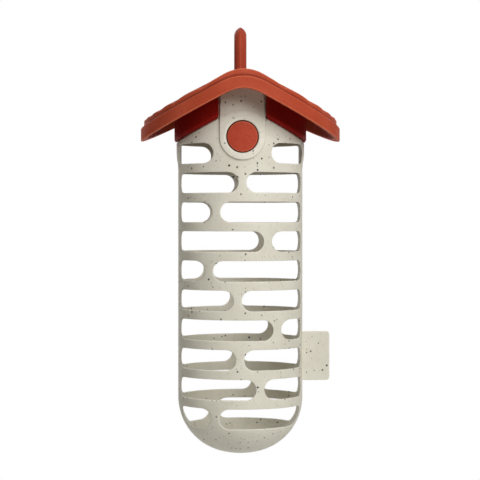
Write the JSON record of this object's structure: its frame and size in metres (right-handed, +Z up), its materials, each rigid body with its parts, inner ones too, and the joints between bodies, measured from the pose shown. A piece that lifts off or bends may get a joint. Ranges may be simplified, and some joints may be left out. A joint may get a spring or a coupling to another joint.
{
  "type": "suet ball feeder",
  "caption": "Hanging suet ball feeder: a slotted round plastic cage with a domed bowl under a round-plan gabled red roof with a hook and push buttons.",
  "frame": {"origin": "on the axis of the cage, at the lowest point of its bowl", "axes": "+Z up, -Y towards the front, where the tag is on the right, +Y towards the rear, where the hook opens, +X towards the side tag"},
  "size_m": [0.13, 0.13, 0.2781],
  "materials": {
    "speckled_stone_plastic": "fine matt, light warm grey with sparse dark specks",
    "tag_plastic": "smooth matt, light warm grey with a few dark specks",
    "brick_red_plastic": "fine-grained matt brick red",
    "spring_steel": "bright strip",
    "screw_steel": "zinc plated"
  },
  "bodies": {
    "head": {"roof": "brick_red_plastic", "hook": "brick_red_plastic", "hook_screw": "screw_steel", "collar": "brick_red_plastic", "collar_screws": "screw_steel", "catch_carrier": "brick_red_plastic", "carrier_screws": "screw_steel"},
    "lift_off_cage": {"cage": "speckled_stone_plastic", "side_tag": "tag_plastic"},
    "front_push": {"front_button": "brick_red_plastic"},
    "rear_push": {"rear_button": "brick_red_plastic"},
    "front_latch": {"front_catch": "spring_steel"},
    "rear_latch": {"rear_catch": "spring_steel"}
  },
  "joints": [
    {"name": "cage_lift_off", "type": "slide", "parent": "head", "child": "lift_off_cage", "axis": [0, 0, -1], "range_m": [0, 0.042], "deforming": ["front_catch", "rear_catch"]},
    {"name": "front_button_press", "type": "slide", "parent": "lift_off_cage", "child": "front_push", "axis": [0, 1, 0], "range_m": [0, 0.0026], "stiffness_N_per_m": 1500, "springref_m": -0.001},
    {"name": "rear_button_press", "type": "slide", "parent": "lift_off_cage", "child": "rear_push", "axis": [0, -1, 0], "range_m": [0, 0.0026], "stiffness_N_per_m": 1500, "springref_m": -0.001},
    {"name": "front_catch_bend", "type": "hinge", "parent": "head", "child": "front_latch", "pos_m": [0, -0.0336, 0.2325], "axis": [1, 0, 0], "range_deg": [0, 5.8]},
    {"name": "rear_catch_bend", "type": "hinge", "parent": "head", "child": "rear_latch", "pos_m": [0, 0.0336, 0.2325], "axis": [-1, 0, 0], "range_deg": [0, 5.8]}
  ],
  "couplings": [
    {"joint": "front_catch_bend", "follows": "front_button_press", "rad_per_m": 38},
    {"joint": "rear_catch_bend", "follows": "rear_button_press", "rad_per_m": 38}
  ]
}
